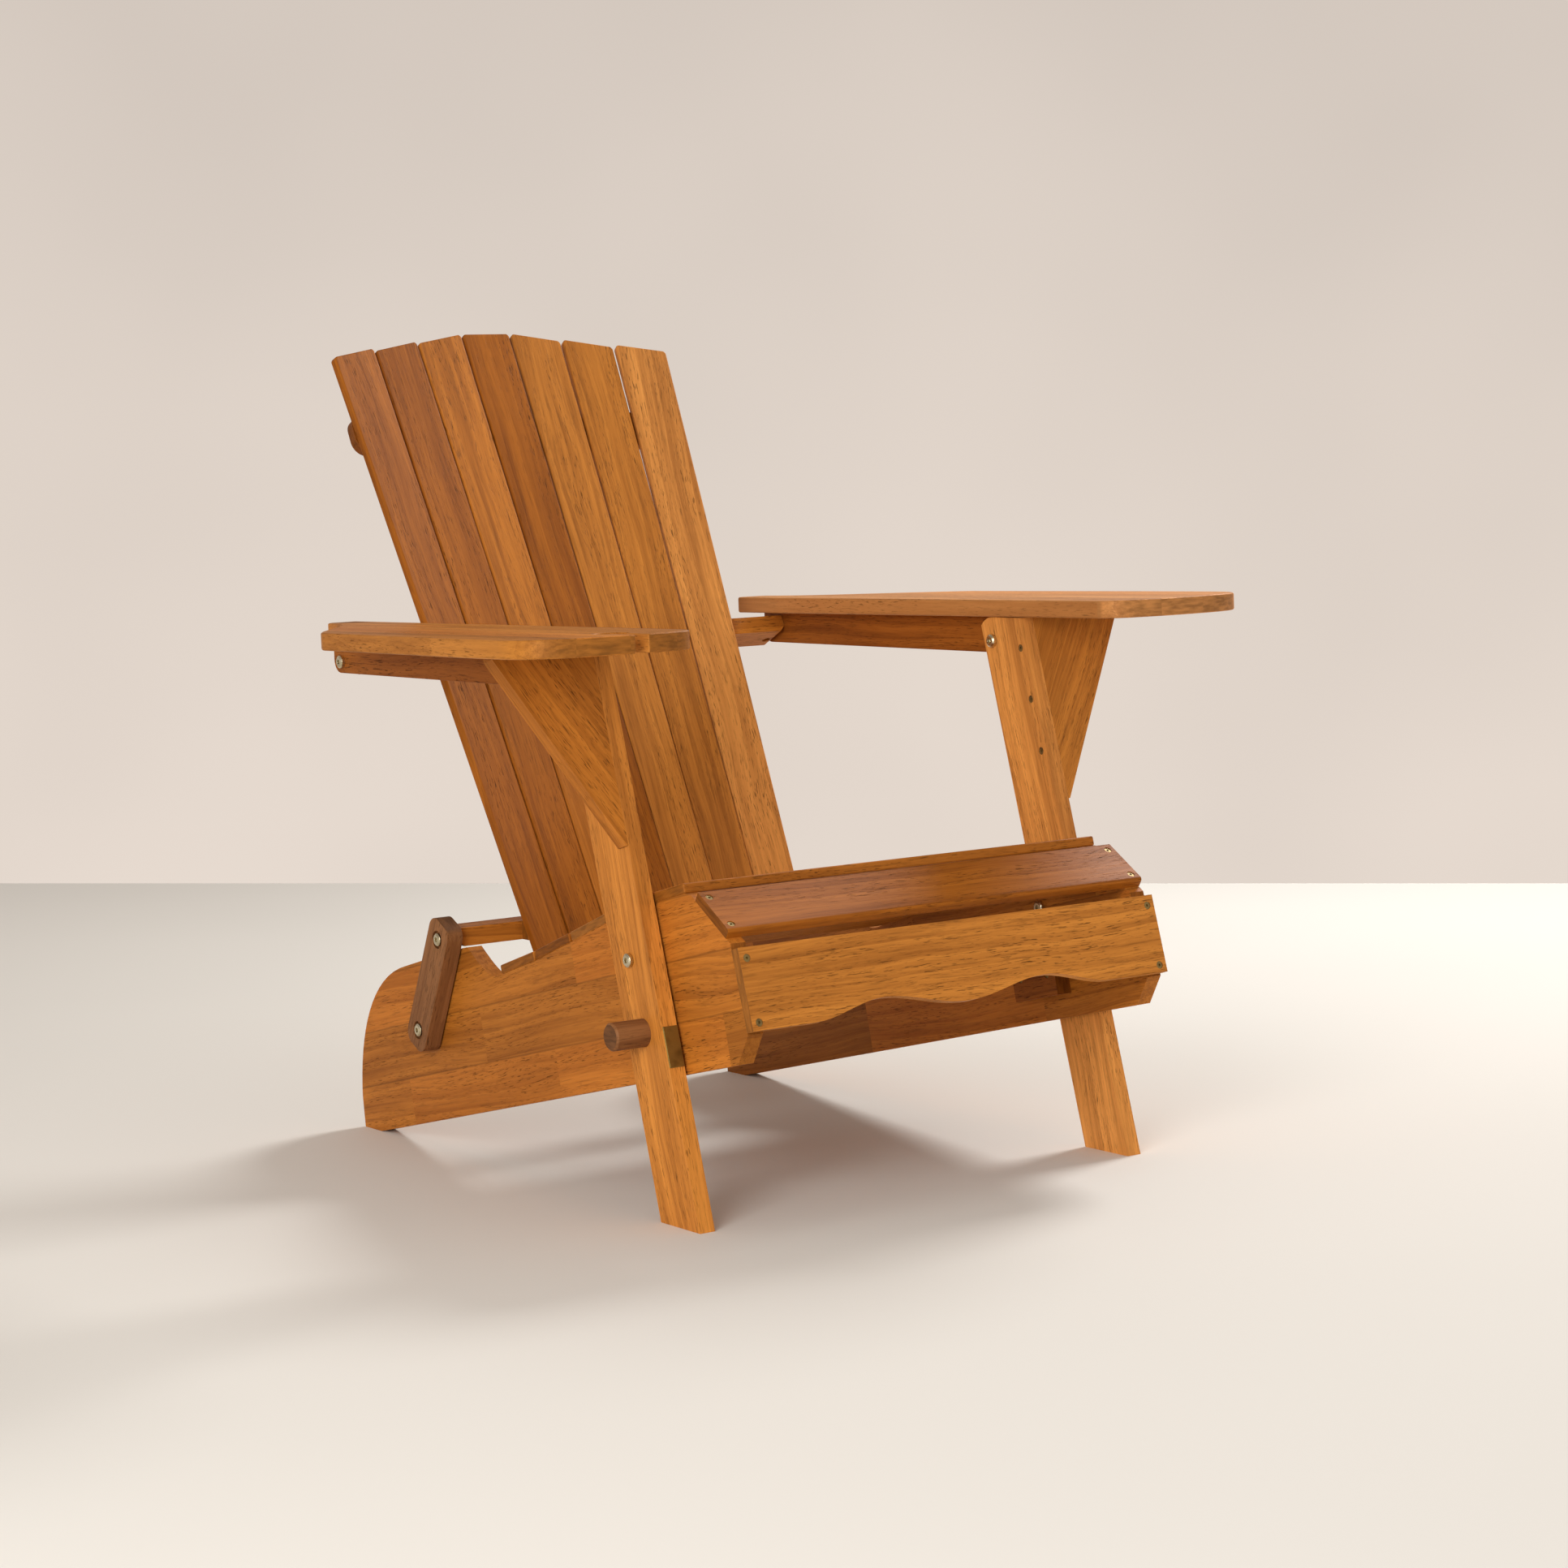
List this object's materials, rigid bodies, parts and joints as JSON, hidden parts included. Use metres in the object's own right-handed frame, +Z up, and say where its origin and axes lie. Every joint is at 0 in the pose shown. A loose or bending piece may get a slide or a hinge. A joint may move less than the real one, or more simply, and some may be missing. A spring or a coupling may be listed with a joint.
{
  "type": "folding garden chair",
  "caption": "Folding slatted wooden garden chair with a fan-shaped reclined back, sloped curved seat and wide flat arms, one with a stemmed-glass slot.",
  "frame": {"origin": "centre of the footprint box at floor level", "axes": "+Z up, the chair faces -Y, +X is the sitter's left"},
  "size_m": [0.916, 0.9425, 0.9265],
  "materials": {
    "oiled_wood": "oiled acacia, orange brown, satin",
    "red_wood": "oiled acacia, darker reddish boards, satin",
    "dark_wood": "dark walnut brown, satin",
    "brass_screws": "aged brass, satin",
    "bolt_metal": "yellow zinc plated steel, satin"
  },
  "bodies": {
    "seat": {"stringer_left": "oiled_wood", "stringer_right": "oiled_wood", "seat_slat_1": "oiled_wood", "seat_slat_2": "oiled_wood", "seat_slat_3": "oiled_wood", "seat_slat_4": "oiled_wood", "seat_slat_5": "oiled_wood", "front_slat": "oiled_wood", "front_apron": "oiled_wood", "guide_block_left": "oiled_wood", "guide_block_right": "oiled_wood", "board_screw_set": "brass_screws", "block_screw_set": "brass_screws", "leg_pivot_bolts": "bolt_metal", "link_lower_bolts": "bolt_metal"},
    "leg_left": {"leg_left": "oiled_wood", "gusset_left": "red_wood", "gusset_screws_left": "brass_screws", "wear_plate_left": "brass_screws"},
    "leg_right": {"leg_right": "oiled_wood", "gusset_right": "red_wood", "gusset_screws_right": "brass_screws", "wear_plate_right": "brass_screws"},
    "peg_left": {"peg_left": "dark_wood"},
    "peg_right": {"peg_right": "dark_wood"},
    "arm_left": {"arm_board_left": "oiled_wood", "arm_rail_left": "red_wood", "arm_bolts_left": "bolt_metal"},
    "arm_right": {"arm_board_right": "oiled_wood", "arm_rail_right": "red_wood", "arm_bolts_right": "bolt_metal"},
    "link_left": {"link_left": "dark_wood"},
    "link_right": {"link_right": "dark_wood"},
    "back": {"back_slat_1": "oiled_wood", "back_slat_2": "red_wood", "back_slat_3": "oiled_wood", "back_slat_4": "red_wood", "back_slat_5": "oiled_wood", "back_slat_6": "red_wood", "back_slat_7": "oiled_wood", "upper_batten": "oiled_wood", "middle_crosspiece": "oiled_wood", "lower_crossbar": "oiled_wood", "barrel_nuts": "bolt_metal", "link_upper_bolts": "bolt_metal"}
  },
  "joints": [
    {"name": "fold_right", "type": "hinge", "parent": "seat", "child": "leg_right", "pos_m": [0, -0.2829, 0.2644], "axis": [1, 0, 0], "range_deg": [0, 90]},
    {"name": "fold_left", "type": "hinge", "parent": "seat", "child": "leg_left", "pos_m": [0, -0.2829, 0.2644], "axis": [1, 0, 0], "range_deg": [0, 90]},
    {"name": "arm_right_pivot", "type": "hinge", "parent": "leg_right", "child": "arm_right", "pos_m": [0, -0.1833, 0.5541], "axis": [1, 0, 0], "range_deg": [-80.42, 0]},
    {"name": "arm_left_pivot", "type": "hinge", "parent": "leg_left", "child": "arm_left", "pos_m": [0, -0.1833, 0.5541], "axis": [1, 0, 0], "range_deg": [-80.42, 0]},
    {"name": "link_right_pivot", "type": "hinge", "parent": "seat", "child": "link_right", "pos_m": [0, 0.1774, 0.1383], "axis": [1, 0, 0], "range_deg": [-26.85, 0]},
    {"name": "link_left_pivot", "type": "hinge", "parent": "seat", "child": "link_left", "pos_m": [0, 0.1774, 0.1383], "axis": [1, 0, 0], "range_deg": [-26.85, 0]},
    {"name": "back_pivot", "type": "hinge", "parent": "link_right", "child": "back", "pos_m": [0, 0.1236, 0.2462], "axis": [1, 0, 0], "range_deg": [0, 114.85]},
    {"name": "peg_right_pull", "type": "slide", "parent": "leg_right", "child": "peg_right", "axis": [-1, 0, 0], "range_m": [0, 0.075]},
    {"name": "peg_left_pull", "type": "slide", "parent": "leg_left", "child": "peg_left", "axis": [1, 0, 0], "range_m": [0, 0.075]}
  ],
  "couplings": [
    {"joint": "fold_left", "follows": "fold_right", "ratio": 1},
    {"joint": "arm_right_pivot", "follows": "fold_right", "ratio": -0.893},
    {"joint": "arm_left_pivot", "follows": "fold_right", "ratio": -0.893},
    {"joint": "link_right_pivot", "follows": "fold_right", "ratio": -0.2978},
    {"joint": "link_left_pivot", "follows": "fold_right", "ratio": -0.2978},
    {"joint": "back_pivot", "follows": "fold_right", "ratio": 1.2756}
  ]
}
